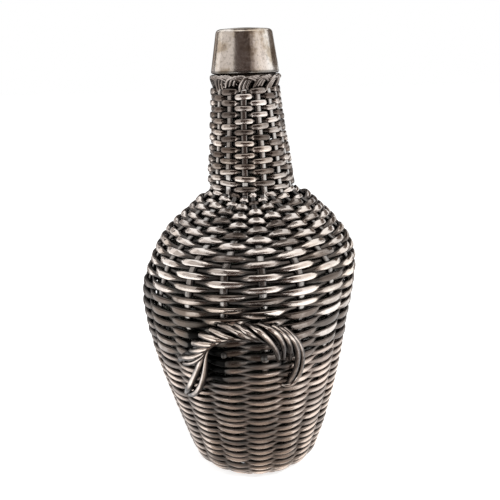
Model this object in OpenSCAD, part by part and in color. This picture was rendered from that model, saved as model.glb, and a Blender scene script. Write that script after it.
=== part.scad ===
// A bottle-shaped hip flask: a glass bottle in a woven metal jacket, with a twisted side handle
// and a tapered screw cap. Millimetres, +Z up, the origin on the table under the middle of the
// base, and the handle on the -Y side. Angles round the axis start at +X.

/* [Jacket] */
// Outside radius of the jacket at its widest
belly_r = 43.6; // [36:0.1:52]
// Height of the widest part above the table
belly_z = 80; // [72:0.5:88]
// Outside radius where the wall meets the rounded foot
foot_r = 29.4; // [25:0.1:34]
// Height of that place above the table
foot_z = 6.5; // [5.5:0.1:8]
// Outside radius of the ring that the flask stands on
rest_r = 21.6; // [19:0.1:25]
// Height of the lower end of the neck
neck_z = 119.5; // [115:0.5:135]
// How much wider the neck is at its lower end than at its upper end, as a radius
neck_flare = 3.8; // [2.5:0.1:5]
// Room between the collar and the weave of the neck
neck_room = 0.2; // [0.2:0.05:2]
// Length of the woven neck
neck_len = 39.5; // [32:0.5:48]
// How far the shoulder stands off the axis, towards +X
shoulder_lean = 2.7; // [0:0.1:4]
// How far the belly stands off the axis, towards -X
belly_lean = 1.8; // [0:0.1:3]

/* [Weave] */
// Number of uprights round the jacket
stakes = 16; // [14:2:18]
// Angle of the first upright, from +X
stake_phase = 11.25; // [0:0.05:22]
// Number of uprights round the neck
neck_stakes_n = 14; // [12:2:18]
// How far round the neck's first upright stands from the first one of the body
neck_turn = 2.6; // [-11:0.1:11]
// Depth of an upright in the body
stake_d = 2.6; // [2:0.1:3.2]
// Depth of an upright in the neck
neck_stake_d = 1.5; // [1.2:0.1:2]
// Rod thickness of the fine lower weave
fine_rod = 1.7; // [1.2:0.1:2.1]
// Height of one course of the fine weave
fine_pitch = 1.68; // [1.4:0.02:2.2]
// Rod thickness of the coarse upper weave
coarse_rod = 2.5; // [1.8:0.1:3]
// Height of one course of the coarse weave
coarse_pitch = 2.2; // [2:0.02:3]
// Rod thickness of the neck's weave
neck_rod = 1.8; // [1.3:0.1:2.1]
// Height of one course of the neck's weave
neck_pitch = 2.16; // [1.9:0.02:2.8]
// Height where the fine weave gives way to the coarse one
change_z = 60; // [50:0.5:68]
// Thickness of the rolled border round the top of the neck
border_d = 3.2; // [2.6:0.1:4.6]

/* [Bottle] */
// Wall of the glass
glass_wall = 2.2; // [1.6:0.1:3]
// Outside radius of the glass neck, which sets the collar, the cap and the weave round it
glass_neck_r = 7.1; // [6:0.1:10]
// Radius of the bore through the glass neck
bore_r = 5; // [4:0.1:5.6]

/* [Cap] */
// How much wider the top of the cap is than the sleeve inside it, as a radius
cap_room = 0.8; // [0.15:0.05:1.5]
// How much wider the cap is at its rim than at its top, as a radius
cap_flare = 2.6; // [1.6:0.05:3.5]
// Height of the cap
cap_h = 16.6; // [14:0.1:22]
// Wall of the cap
cap_wall = 0.7; // [0.5:0.05:0.9]
// Wall of the collar on the neck
collar_wall = 0.75; // [0.6:0.05:1]
// Diameter of the wires that form the screw thread
thread_wire = 1; // [0.8:0.05:1.1]
// Rise of the thread in one turn
thread_lead = 6; // [5:0.5:8]
// Number of thread wires on each side
thread_starts = 2; // [1:1:2]

/* [Handle] */
// Middle of the handle, as an angle from the front towards +X
handle_angle = 0; // [-15:0.5:15]
// Half of the handle's width, between the middles of its legs
handle_half = 17.5; // [13:0.5:21]
// Height of the handle's feet above the table
handle_foot_z = 46.5; // [42:0.5:52]
// Rise of the handle from its feet to the middle of its top
handle_rise = 32.4; // [26:0.1:38]
// Room between the top of the handle and the jacket
handle_gap = 6.5; // [5:0.1:9]
// Thickness of one twisted strand
strand_d = 2.5; // [2:0.1:2.9]
// Number of strands laid round the core
strands = 5; // [5:1:5]
// Turns that the strands make round the core
strand_turns = 2.6; // [2:0.1:3.2]

/* [Hidden] */
$fn = 64;

// Clearances: between woven rods, between courses, round the glass and under the cap
rod_gap = 0.15;
course_gap = 0.1;
glass_gap = 0.5;
seat_gap = 0.1;
thread_gap = 0.15;

// From the glass neck out: the collar, the two threads, the sleeve, the cap and the weave
collar_in = glass_neck_r + seat_gap;
collar_r = collar_in + collar_wall;
male_r = collar_r + thread_wire / 2 + thread_gap;
sleeve_in = male_r + thread_wire / 2 + 1.5 * thread_gap;
female_r = sleeve_in - thread_wire / 2 - thread_gap / 2;
sleeve_wall = 0.4;
sleeve_r = sleeve_in + sleeve_wall;
cap_top_r = sleeve_r + cap_room;
cap_low_r = cap_top_r + cap_flare;
neck_top_r = collar_r + neck_room + 2 * neck_rod + neck_stake_d + 3 * rod_gap;
neck_low_r = neck_top_r + neck_flare;

// Levels from the table up
base_clear = 0.6;
base_rod = 1.3;
stick_h = 3;
stick_w = 1.8;
stick_pitch = 2.1;
stick_z = base_clear + base_rod + seat_gap;
over_z = stick_z + stick_h + seat_gap;
glass_z = over_z + base_rod + seat_gap;
neck_top_z = neck_z + neck_len;
border_z = neck_top_z + border_d / 2 + seat_gap;
flange_z = border_z + border_d / 2 + seat_gap;
flange_h = 0.9;
cap_z = flange_z + flange_h + seat_gap;
cap_top_z = cap_z + cap_h;

// The jacket's outside, from the ring it stands on to the top of the neck, as [radius, height]
wall_flare = 0.27;
wall_pull = (belly_z - foot_z) / 3;
dome_h = neck_z - belly_z;
dome_w = belly_r - neck_low_r;
foot_pull = 3;
bezier_steps = 12;
function bezier(a, b, c, d, t) =
    a * pow(1 - t, 3) + b * 3 * t * pow(1 - t, 2) + c * 3 * t * t * (1 - t) + d * pow(t, 3);
function curve(p) = [for (i = [0 : bezier_steps - 1]) bezier(p[0], p[1], p[2], p[3], i / bezier_steps)];
foot_curve = [[rest_r, 0], [rest_r + foot_pull, 0],
    [foot_r - wall_flare * foot_pull, foot_z - foot_pull], [foot_r, foot_z]];
wall_curve = [[foot_r, foot_z], [foot_r + wall_flare * wall_pull, foot_z + wall_pull],
    [belly_r, belly_z - wall_pull], [belly_r, belly_z]];
dome_curve = [[belly_r, belly_z], [belly_r, belly_z + 0.56 * dome_h],
    [neck_low_r + 0.545 * dome_w, neck_z - 0.27 * dome_h], [neck_low_r, neck_z]];
neck_steps = 8;
neck_side = [for (i = [0 : neck_steps])
    [neck_low_r, neck_z] + [neck_top_r - neck_low_r, neck_len] * i / neck_steps];
jacket = concat(curve(foot_curve), curve(wall_curve), curve(dome_curve), neck_side);
last = len(jacket) - 1;
neck_start = last - neck_steps;

// Thickness of the weave at a height, and from the jacket's outside to the middle of the uprights
function rod_at(z) = z < change_z ? fine_rod : z < neck_z ? coarse_rod : neck_rod;
function depth_at(z) = z < neck_z ? stake_d : neck_stake_d;
function inset_at(z) = depth_at(z) / 2 + rod_at(z) + rod_gap;

// The line that the uprights follow
function unit(v) = v / norm(v);
function normal_at(list, i) =
    let(d = unit(list[min(i + 1, len(list) - 1)] - list[max(i - 1, 0)])) [d[1], -d[0]];
dome_line = [for (i = [0 : neck_start - 1]) jacket[i] - inset_at(jacket[i][1]) * normal_at(jacket, i)];
neck_line = [for (p = neck_side) p - [inset_at(neck_z), 0]];
stake_line = concat(dome_line, neck_line);
split_z = dome_line[neck_start - 1][1];
tip_gap = 0.3;
tip_rise = stake_d / 2 * normal_at(dome_line, neck_start - 1)[1];
neck_from = split_z + tip_rise + tip_gap;
radius_table = [for (p = stake_line) [p[1], p[0]]];
function stake_r(z) = lookup(z, radius_table);
probe = 0.4;
function steep(z) = norm([1, (stake_r(z + probe) - stake_r(z - probe)) / (2 * probe)]);

// The handmade lean of the jacket at a height
lean_points = [[foot_z + 4, 0], [belly_z - 11, -belly_lean], [neck_z - 11, shoulder_lean],
    [neck_z + 8, 0.4 * shoulder_lean], [neck_top_z, 0]];
function ease(t) = t * t * (3 - 2 * t);
function lean(z, i = 0) =
    z <= lean_points[0][0] ? 0 :
    i >= len(lean_points) - 1 ? 0 :
    z > lean_points[i + 1][0] ? lean(z, i + 1) :
    let(a = lean_points[i], b = lean_points[i + 1])
    a[1] + (b[1] - a[1]) * ease((z - a[0]) / (b[0] - a[0]));

// Distance along the uprights, for even courses
function lengths(list, i = 0, sum = 0) =
    i == len(list) - 1 ? [sum] :
    concat([sum], lengths(list, i + 1, sum + norm(list[i + 1] - list[i])));
along = lengths(stake_line);
height_table = [for (i = [0 : last]) [along[i], stake_line[i][1]]];
length_table = [for (i = [0 : last]) [stake_line[i][1], along[i]]];
function height_of(s) = lookup(s, height_table);
function length_of(z) = lookup(z, length_table);

// Bands of courses: lower height, upper height, course height, rod and first upright passed outside
stake_step = 360 / stakes;
wale_z = foot_z - 0.6;
dome_z = (belly_z + neck_z) / 2 - 2;
bands = [[wale_z, change_z, fine_pitch, fine_rod, 0],
    [change_z, dome_z, coarse_pitch, coarse_rod, 0],
    [dome_z, split_z, coarse_pitch, coarse_rod, 0],
    [neck_from, neck_top_z, neck_pitch, neck_rod, 0]];
function rows(band) = round((length_of(band[1]) - length_of(band[0])) / band[2]);
function row_z(band, i) =
    let(a = length_of(band[0]), b = length_of(band[1])) height_of(a + (b - a) * i / rows(band));

// One upright, in the plane through the axis at its own angle, as a rib of even depth
module rib(line, depth, width, angle) {
    leaning = [for (p = line) p + [lean(p[1]) * cos(angle), 0]];
    sides = [for (i = [0 : len(line) - 1]) normal_at(leaning, i) * depth / 2];
    outline = concat([for (i = [0 : len(line) - 1]) leaning[i] + sides[i]],
        [for (i = [len(line) - 1 : -1 : 0]) leaning[i] - sides[i]]);
    rotate([90, 0, angle]) linear_extrude(width, center = true) polygon(outline);
}

function stake_angle(k, turn, n) = stake_phase + turn + k * 360 / n;

module stake(k) {
    color("dimgray") rib(dome_line, stake_d, stake_width, stake_angle(k, 0, stakes));
}
stake_width = 2.2;
neck_stake_width = 1.3;
neck_stake_line = concat([[stake_r(neck_from), neck_from]], neck_line);

module neck_stakes() {
    color("dimgray") for (k = [0 : neck_stakes_n - 1])
        rib(neck_stake_line, neck_stake_d, neck_stake_width, stake_angle(k, neck_turn, neck_stakes_n));
}

// Where a course passes an upright: just outside it or just inside it, over its own height
function outside(z, angle) = stake_r(z) + lean(z) * cos(angle) + depth_at(z) / 2 * steep(z);
function within(z, angle) = stake_r(z) + lean(z) * cos(angle) - depth_at(z) / 2 * steep(z);
function pass(z0, z1, angle, over, rod) = over
    ? max(outside(z0, angle), outside(z1, angle)) + rod_gap + rod / 2
    : min(within(z0, angle), within(z1, angle)) - rod_gap - rod / 2;
crest_share = 0.26;
function course_line(z0, z1, rod, first, turn, n, edge) = [for (k = [0 : n - 1], side = [-1, 1])
    let(angle = stake_angle(k, turn, n), r = pass(z0, z1, angle, (k + first) % 2 == 0, rod) + edge,
        half = crest_share * r * 2 * PI / n)
    [r * cos(angle) - side * half * sin(angle), r * sin(angle) + side * half * cos(angle)]];

module course(z0, z1, rod, first, turn, n) {
    translate([0, 0, z0]) linear_extrude(z1 - z0) difference() {
        polygon(course_line(z0, z1, rod, first, turn, n, rod / 2));
        polygon(course_line(z0, z1, rod, first, turn, n, -rod / 2));
    }
}

// Every second course of a band, which one of its two weavers makes
module weaver(band, odd, turn = 0, n = stakes) {
    color("darkgray") for (i = [odd : 2 : rows(band) - 1])
        course(row_z(band, i) + course_gap / 2, row_z(band, i + 1) - course_gap / 2,
            band[3], band[4] + i, turn, n);
}

// The ring of stout rods at the foot, which has the flat face that the flask stands on
wale_lip = 2.6;
module foot_wale() {
    top = wale_z - course_gap;
    backs = [for (i = [0 : bezier_steps - 1])
        stake_line[i] + normal_at(stake_line, i) * (stake_d / 2 + rod_gap)];
    outer = [for (i = [0 : bezier_steps - 1]) if (jacket[i][1] < top) jacket[i]];
    inner = [for (p = backs) if (p[1] < top) p];
    outer_r = lookup(top, [for (p = jacket) [p[1], p[0]]]);
    inner_r = lookup(top, [for (p = backs) [p[1], p[0]]]);
    edge = inner[0] - [wale_lip, 0];
    color("gray") rotate_extrude() polygon(concat([[edge[0], 0]], outer, [[outer_r, top], [inner_r, top]],
        [for (i = [len(inner) - 1 : -1 : 0]) inner[i]], [edge]));
}

// A base rod: straight through the middle, then spread so that the ends stand evenly round
function stick_angle(j) = (j - 1.5) * stake_step;
module stick(j, h) {
    reach = rest_r + 0.5;
    mid = stick_pitch * 2.2;
    y = (j - 1.5) * stick_pitch;
    tip = reach * [cos(stick_angle(j)), sin(stick_angle(j))];
    bar = [0, stick_w / 2];
    linear_extrude(h) polygon([[-tip[0], tip[1]] + bar, [-mid, y] + bar, [mid, y] + bar, tip + bar,
        tip - bar, [mid, y] - bar, [-mid, y] - bar, [-tip[0], tip[1]] - bar]);
}
slot_h = stick_h / 2;
base_turn = stake_phase;

module base_sticks_pierced() {
    color("dimgray") rotate(base_turn) translate([0, 0, stick_z]) difference() {
        for (j = [0 : 3]) stick(j, stick_h);
        translate([0, 0, stick_h / 2]) cube([4.4 * stick_pitch, 6 * stick_pitch, slot_h], center = true);
    }
}

module base_sticks_threaded() {
    color("dimgray") rotate(base_turn + 90)
        translate([0, 0, stick_z + (stick_h - slot_h) / 2 + seat_gap])
            for (j = [0 : 3]) stick(j, slot_h - 2 * seat_gap);
}

// Rings of rod laid under and over the base rods
module base_rings(z) {
    ring_pitch = fine_rod + course_gap;
    first_r = 3 * stick_pitch;
    count = floor((rest_r - 3.6 - first_r) / ring_pitch);
    color("darkgray") for (i = [0 : count - 1]) translate([0, 0, z]) rotate_extrude()
        translate([first_r + i * ring_pitch, 0]) square([fine_rod, base_rod]);
}
module base_weave_under() { base_rings(base_clear); }
module base_weave_over() { base_rings(over_z); }

// The border is rolled from the tips of the neck's uprights
module neck_border() {
    color("darkgray") translate([0, 0, border_z]) rotate_extrude()
        translate([neck_top_r - border_d / 2 + 0.4, 0]) circle(d = border_d);
}

// The glass follows the inside of the weave
lip_z = cap_z + cap_h - 6.9;
glass_step = 4;
glass_low = glass_z + 6;
function weave_in(z) = stake_r(z) - abs(lean(z)) - depth_at(z) / 2 * steep(z) - 2 * rod_gap - rod_at(z);
function glass_r(z) = max(glass_neck_r,
    min(weave_in(z - coarse_pitch), weave_in(z), weave_in(z + coarse_pitch)) - glass_gap);
glass_heights = [for (z = [glass_low : glass_step : split_z - 5]) z];
glass_wall_line = [for (z = glass_heights) [glass_r(z), z]];
glass_r_low = glass_r(glass_low);
glass_side = concat([[glass_r_low - 5, glass_z], [glass_r_low - 1.5, glass_z + 2]], glass_wall_line,
    [[glass_neck_r, split_z + 1], [glass_neck_r, lip_z]]);
cavity_top = [for (p = glass_wall_line) [max(bore_r, p[0] - glass_wall), p[1]]];
cavity_side = concat([[glass_r_low - 5 - glass_wall, glass_z + glass_wall]], cavity_top,
    [[bore_r, split_z + 1], [bore_r, lip_z]]);

module glass_bottle() {
    color("darkolivegreen") rotate_extrude() polygon(concat([[0, glass_z]], glass_side,
        [for (i = [len(cavity_side) - 1 : -1 : 0]) cavity_side[i]], [[0, glass_z + glass_wall]]));
}

// The collar grips the glass neck, turns in over its lip and carries the thread
collar_top = lip_z + seat_gap + collar_wall;
collar_skirt = 6;
flange_r = neck_top_r - border_d / 2;
module neck_collar() {
    color("silver") rotate_extrude() polygon([[collar_in, flange_z - collar_skirt],
        [collar_r, flange_z - collar_skirt], [collar_r, flange_z], [flange_r, flange_z],
        [flange_r, flange_z + flange_h], [collar_r, flange_z + flange_h], [collar_r, collar_top],
        [bore_r + seat_gap, collar_top], [bore_r + seat_gap, lip_z + seat_gap],
        [collar_in, lip_z + seat_gap]]);
}

// A closed tube along a list of points, with rings of its own sides set square to the way it runs
function flat_index(list) = [for (part = list) each part];
function tube_points(path, d, sides) = flat_index([for (i = [0 : len(path) - 1])
    let(t = unit(path[min(i + 1, len(path) - 1)] - path[max(i - 1, 0)]),
        across = unit(cross(t, abs(t[2]) > 0.9 ? [1, 0, 0] : [0, 0, 1])), up = cross(across, t))
    [for (j = [0 : sides - 1])
        path[i] + d / 2 * (across * cos(360 * j / sides) + up * sin(360 * j / sides))]]);
function tube_faces(rings, sides) = concat(
    [[for (j = [0 : sides - 1]) j]],
    flat_index([for (i = [0 : rings - 2], j = [0 : sides - 1])
        let(a = i * sides + j, b = i * sides + (j + 1) % sides)
        [[a, a + sides, b + sides], [a, b + sides, b]]]),
    [[for (j = [sides - 1 : -1 : 0]) (rings - 1) * sides + j]]);
module tube(path, d, sides) {
    polyhedron(tube_points(path, d, sides), tube_faces(len(path), sides));
}

// Thread wires: one turn each, wound round the collar and inside the sleeve
thread_steps = 32;
thread_sides = 6;
thread_z = cap_z + 2.2;
function helix(r, z, start) = [for (i = [0 : thread_steps])
    let(a = start + 360 * i / thread_steps) [r * cos(a), r * sin(a), z + thread_lead * i / thread_steps]];
module thread(r, start) {
    for (s = [0 : thread_starts - 1])
        tube(helix(r, thread_z, start + s * 360 / thread_starts), thread_wire, thread_sides);
}
module neck_thread() { color("silver") thread(male_r, 0); }
module cap_thread() { color("silver") thread(female_r, 180 / thread_starts); }

// The cap: a tapered cup, a sleeve that holds its thread and a cork wad that seals on the collar
wad_z = collar_top + seat_gap;
cap_round = 1.6;
cap_dome = 0.5;
rim_round = 0.8;
roof_z = cap_top_z - cap_dome - 1.1;
shoulder_z = cap_top_z - cap_dome - cap_round;
function cap_r(z) = cap_low_r + (cap_top_r - cap_low_r) * (z - cap_z) / cap_h;
inner_top_z = shoulder_z - cap_round / 2;
inner_top_r = cap_r(shoulder_z) - cap_wall;
inner_low_r = cap_low_r - cap_wall - rim_round / 2;
inner_taper = (inner_low_r - inner_top_r) / (inner_top_z - cap_z);
function cap_inner(z) = inner_low_r - inner_taper * (z - cap_z);
function arc(centre, r, from, to, n) = [for (i = [0 : n])
    let(a = from + (to - from) * i / n) centre + r * [cos(a), sin(a)]];
module cap_shell() {
    tilt = atan2(cap_low_r - cap_top_r, cap_h);
    rim = arc([cap_low_r - rim_round, cap_z + rim_round], rim_round, -90, tilt, 5);
    crown = arc([cap_r(shoulder_z) - cap_round / cos(tilt), shoulder_z], cap_round, tilt, 85, 6);
    color("silver") rotate_extrude() polygon(concat(rim, crown, [[0, cap_top_z],
        [0, roof_z], [cap_top_r - cap_wall - cap_round / 2, roof_z], [inner_top_r, inner_top_z],
        [inner_low_r, cap_z]]));
}

sleeve_foot = 0.7;
sleeve_z = cap_z + 0.5;
sleeve_top = min(wad_z - seat_gap, cap_z + (inner_low_r - sleeve_r - seat_gap) / inner_taper);
module cap_sleeve() {
    foot_out = cap_inner(sleeve_z + sleeve_foot) - seat_gap / 2;
    color("silver") rotate_extrude() polygon([[sleeve_in, sleeve_z], [foot_out, sleeve_z],
        [foot_out, sleeve_z + sleeve_foot], [sleeve_r, sleeve_z + sleeve_foot],
        [sleeve_r, sleeve_top], [sleeve_in, sleeve_top]]);
}

wad_r = min(collar_r + 0.5, cap_top_r - cap_wall - cap_round / 2 - seat_gap);
module cork_wad() {
    color("burlywood") translate([0, 0, wad_z]) cylinder(r = wad_r, h = roof_z - seat_gap - wad_z);
}

// The handle: strands laid round a core that springs from the jacket's wall and returns to it
core_d = 2.5;
lay_r = (core_d + strand_d) / 2 + 0.2;
handle_steps = 56;
bury = -0.4;
arch_power = 3.2;
function jacket_r(z, angle) = outside(z, angle) + rod_gap + rod_at(z);
function arch(t) =
    let(a = 180 * t, c = cos(a), u = -sign(c) * pow(abs(c), 2 / arch_power) * handle_half,
        v = pow(sin(a), 2 / arch_power) * handle_rise, share = v / handle_rise,
        stand = -bury + (bury + handle_gap + lay_r + strand_d / 2) * sin(90 * share),
        z = handle_foot_z + v, r0 = jacket_r(z, -90),
        angle = -90 + handle_angle + u / r0 * 180 / PI, r = jacket_r(z, angle) + stand)
    [r * cos(angle), r * sin(angle), z];
function arch_frame(t) =
    let(d = 0.004, way = unit(arch(min(1, t + d)) - arch(max(0, t - d))), p = arch(t),
        out = unit([p[0], p[1], 0] - way * (way * [p[0], p[1], 0])))
    [out, cross(way, out)];
arch_path = [for (i = [0 : handle_steps]) arch(i / handle_steps)];
function strand_path(k) = [for (i = [0 : handle_steps])
    let(t = i / handle_steps, f = arch_frame(t), a = 360 * (k / strands + strand_turns * t))
    arch(t) + lay_r * (f[0] * cos(a) + f[1] * sin(a))];
strand_sides = 6;
module handle_core() { color("dimgray") tube(arch_path, core_d, strand_sides); }
module handle_strand(k) { color("gray") tube(strand_path(k), strand_d, strand_sides); }

glass_bottle();
neck_collar();
neck_thread();
cap_shell();
cap_sleeve();
cap_thread();
cork_wad();
base_sticks_pierced();
base_sticks_threaded();
base_weave_under();
base_weave_over();
foot_wale();
neck_stakes();
weaver(bands[0], 1);  // lower_weave_odd
weaver(bands[0], 0);  // lower_weave_even
weaver(bands[1], 1);  // belly_weave_odd
weaver(bands[1], 0);  // belly_weave_even
weaver(bands[2], 1);  // shoulder_weave_odd
weaver(bands[2], 0);  // shoulder_weave_even
weaver(bands[3], 1, neck_turn, neck_stakes_n);  // neck_weave_odd
weaver(bands[3], 0, neck_turn, neck_stakes_n);  // neck_weave_even
neck_border();
handle_core();
for (k = [1 : stakes]) stake(k - 1);
for (k = [1 : strands]) handle_strand(k - 1);
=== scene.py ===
"""Looks of a hip flask: a glass bottle in a woven silver jacket, with a twisted handle and a screw cap."""
import math
import bpy
import numpy as np
from mathutils import Matrix, Vector


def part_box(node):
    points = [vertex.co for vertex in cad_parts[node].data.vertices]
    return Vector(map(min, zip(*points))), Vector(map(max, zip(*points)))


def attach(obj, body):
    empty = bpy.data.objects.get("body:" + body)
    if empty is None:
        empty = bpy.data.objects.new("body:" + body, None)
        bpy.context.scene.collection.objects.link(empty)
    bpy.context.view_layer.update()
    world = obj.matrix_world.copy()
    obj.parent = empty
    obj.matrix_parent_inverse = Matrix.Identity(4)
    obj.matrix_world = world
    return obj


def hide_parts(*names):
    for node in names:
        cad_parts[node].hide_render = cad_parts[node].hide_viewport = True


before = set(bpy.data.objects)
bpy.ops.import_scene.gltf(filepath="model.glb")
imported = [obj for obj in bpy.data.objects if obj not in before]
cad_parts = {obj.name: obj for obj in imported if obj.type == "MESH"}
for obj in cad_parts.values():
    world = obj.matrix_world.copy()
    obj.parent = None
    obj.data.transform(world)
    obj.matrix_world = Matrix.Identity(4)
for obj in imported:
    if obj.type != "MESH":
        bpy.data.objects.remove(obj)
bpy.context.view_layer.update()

MM = 0.001  # shapes are worked out in millimetres and built in metres
TAU = 2 * math.pi
STAKES = 16  # uprights of the body
STEP = TAU / STAKES
PHASE = math.radians(11.25)
NECK_STAKES = 14
NECK_STEP = TAU / NECK_STAKES
NECK_PHASE = math.radians(13.85)
BODY, NECK = (STAKES, PHASE), (NECK_STAKES, NECK_PHASE)
CAP_BOTTOM, CAP_TOP = 163.4, 180.0
ON_AXIS = 0.001  # radius where a turned form meets its axis
SEED = 11
rng = np.random.default_rng(SEED)


def smooth(a, b, x):
    """0 up to a, 1 from b on, and a smooth step between."""
    t = np.clip((np.asarray(x, float) - a) / (b - a), 0, 1)
    return t * t * (3 - 2 * t)


def band(x, a, b, c, d):
    """1 from b to c, falling smoothly to 0 at a and d."""
    return smooth(a, b, x) * (1 - smooth(c, d, x))


def swell(x, at, width, power=2):
    """A soft bump that is 1 in the middle."""
    return np.exp(-((x - at) / width) ** power)


def unit(v):
    return v / np.maximum(np.linalg.norm(v, axis=-1, keepdims=True), 1e-9)


def lengths(points):
    """Length along a run of points, at each of them."""
    return np.concatenate([[0], np.cumsum(np.linalg.norm(np.diff(points, axis=0), axis=1))])


def polar(r, phi, z):
    return np.column_stack([r * np.cos(phi), r * np.sin(phi), z + 0 * phi])


# ---------------------------------------------------------------- the jacket's shape
def bezier(a, b, c, d, n):
    t = np.linspace(0, 1, n, endpoint=False)[:, None]
    a, b, c, d = (np.array(p, float) for p in (a, b, c, d))
    return a * (1 - t) ** 3 + 3 * b * t * (1 - t) ** 2 + 3 * c * t * t * (1 - t) + d * t ** 3


def even(points, step):
    """The same line with its points at equal steps."""
    length = lengths(points)
    s = np.arange(0, length[-1], step)
    return np.column_stack([np.interp(s, length, points[:, i]) for i in range(points.shape[1])])


def blur(values, width):
    """A smoothed line. It's carried on past both ends first, so that they stay where they are."""
    reach = 3 * width
    k = np.exp(-0.5 * (np.arange(-reach, reach + 1) / width) ** 2)
    before, after = 2 * values[:1] - values[reach:0:-1], 2 * values[-1:] - values[-2:-reach - 2:-1]
    pad = np.concatenate([before, values, after])
    return np.column_stack([np.convolve(pad[:, i], k / k.sum(), "valid") for i in range(values.shape[1])])


FOOT_R, FOOT_Z = 29.4, 6.5
BELLY_R, BELLY_Z = 43.6, 80
NECK_R, NECK_Z = 17.5, 119.5
TOP_R, TOP_Z = 13.7, 159
PULL = (BELLY_Z - FOOT_Z) / 3
RISE = NECK_Z - BELLY_Z
JACKET = np.vstack([  # outer line, as radius and height
    bezier((24.3, 0), (26.6, 0), (28.8, 3.0), (FOOT_R, FOOT_Z), 200),
    bezier((FOOT_R, FOOT_Z), (FOOT_R + 0.27 * PULL, FOOT_Z + PULL),
           (BELLY_R, BELLY_Z - PULL), (BELLY_R, BELLY_Z), 800),
    bezier((BELLY_R, BELLY_Z), (BELLY_R, BELLY_Z + 0.56 * RISE),
           (NECK_R + 0.545 * (BELLY_R - NECK_R), NECK_Z - 0.27 * RISE), (NECK_R, NECK_Z), 800),
    np.column_stack([np.linspace(NECK_R, TOP_R, 500), np.linspace(NECK_Z, TOP_Z, 500)])])
JACKET = blur(even(JACKET, 0.2), 5)
WAY = unit(np.gradient(JACKET, axis=0))
INSET = 3.15 + 0.8 * smooth(56, 64, JACKET[:, 1]) - 1.25 * smooth(110.5, 120.5, JACKET[:, 1])
# The line of the uprights, set in from the outer line, and the length up it
LINE = blur(even(JACKET - INSET[:, None] * np.column_stack([WAY[:, 1], -WAY[:, 0]]), 0.2), 6)
LINE_S = lengths(LINE)
LINE_WAY = unit(np.gradient(LINE, axis=0))
LEAN = [(10.5, 0), (69, -1.8), (108.5, 2.7), (127.5, 1.08), (159, 0)]  # height, and how far to +X
GATHER_AT = math.radians(-80)


def lean(z):
    out = np.zeros_like(np.asarray(z, float))
    for (a, va), (b, vb) in zip(LEAN, LEAN[1:]):
        out = np.where((z > a) & (z <= b), va + (vb - va) * smooth(a, b, z), out)
    return out


def s_of(z):
    return np.interp(z, LINE[:, 1], LINE_S)


def on_jacket(s, phi, out, gather):
    """A point at length s up the line of the uprights, with its outward and upward directions.

    The uprights crowd together on the front of the shoulder, by the share that gather gives."""
    r, z = np.interp(s, LINE_S, LINE[:, 0]), np.interp(s, LINE_S, LINE[:, 1])
    tr, tz = np.interp(s, LINE_S, LINE_WAY[:, 0]), np.interp(s, LINE_S, LINE_WAY[:, 1])
    crowd = 0.12 + 0.26 * smooth(92, 111, z) + 0.16 * smooth(110, 118, z)
    phi = phi - gather * (crowd * np.sin(phi - GATHER_AT) + 0.03 * (1 - smooth(15, 60, z)))
    c, sn = np.cos(phi), np.sin(phi)
    r = r + lean(z) * c
    left, right = smooth(0.1, 1.0, -c), smooth(0.1, 1.0, c)
    r = r + left * (0.3 * swell(z, 101, 7) + 0.9 * swell(z, 80, 9))
    r = r + right * (0.9 * swell(z, 82, 14, 4) - 0.5 * swell(z, 106, 5)) + 0.6 * swell(z, 127, 9)
    normal = np.stack([tz * c, tz * sn, -tr + 0 * c], -1)
    up = np.stack([tr * c, tr * sn, tz + 0 * c], -1)
    point = np.stack([r * c, r * sn, z + 0 * c], -1) + normal * np.asarray(out)[..., None]
    return point, normal, up


# ---------------------------------------------------------------- meshes
def add(name, data):
    obj = bpy.data.objects.new(name, data)
    bpy.context.scene.collection.objects.link(obj)
    return obj


class Shape:
    """Rings of points joined into one mesh, with a value on each point for wear and painted light, and lay
    coordinates.
    """

    def __init__(self):
        self.points, self.faces, self.wear, self.lay, self.count = [], [], [], [], 0

    def rings(self, grid, wear, lay, closed=False):
        """Adds a run of rings. It closes on its first ring, or else each end closes on a hub."""
        n, m = grid.shape[:2]
        wear, lay = np.broadcast_to(wear, (n, m)), np.broadcast_to(lay, (n, m, 3))
        idx = np.arange(n * m).reshape(n, m) + self.count
        a = idx if closed else idx[:-1]
        b = np.roll(idx, -1, 0) if closed else idx[1:]
        self.faces.append(np.stack([a, np.roll(a, -1, 1), np.roll(b, -1, 1), b], -1).reshape(-1, 4))
        self.points.append(grid.reshape(-1, 3))
        self.wear.append(wear.reshape(-1))
        self.lay.append(lay.reshape(-1, 3))
        self.count += n * m
        if closed:
            return
        for row, flip, hub_wear in ((0, True, wear[0].mean()), (n - 1, False, 1.0)):
            self.points.append(grid[row].mean(0)[None])
            self.wear.append(np.array([hub_wear]))
            self.lay.append(lay[row].mean(0)[None])
            hub, ring = np.full(m, self.count), idx[row]
            nxt = np.roll(ring, -1)
            # A face whose last two corners are the same is a triangle
            self.faces.append(np.stack([hub, nxt, ring, ring] if flip else [hub, ring, nxt, nxt], -1))
            self.count += 1

    def build(self, name, look, sharp):
        points = np.vstack(self.points).astype(np.float32) * MM
        quads = np.vstack(self.faces)
        tri = quads[:, 2] == quads[:, 3]
        faces = [q[:3] if t else q for q, t in zip(quads.tolist(), tri)]
        wear, lay = np.concatenate(self.wear).astype(np.float32), np.vstack(self.lay).astype(np.float32)
        mesh = bpy.data.meshes.new(name)
        mesh.from_pydata(points.tolist(), [], faces)
        mesh.attributes.new("wear", "FLOAT", "POINT").data.foreach_set("value", wear)
        mesh.attributes.new("lay", "FLOAT_VECTOR", "POINT").data.foreach_set("vector", lay.ravel())
        mesh.shade_smooth()
        if sharp:
            mesh.set_sharp_from_angle(angle=math.radians(sharp))
        mesh.materials.append(look)
        return add(name, mesh)


def place(shape, name, look, body, nodes, sharp=None):
    """Makes a shape a piece. Edges that turn by more than sharp, in degrees, aren't shaded smooth."""
    obj = shape.build(name, look, sharp)
    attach(obj, body)
    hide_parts(*nodes)


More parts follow.
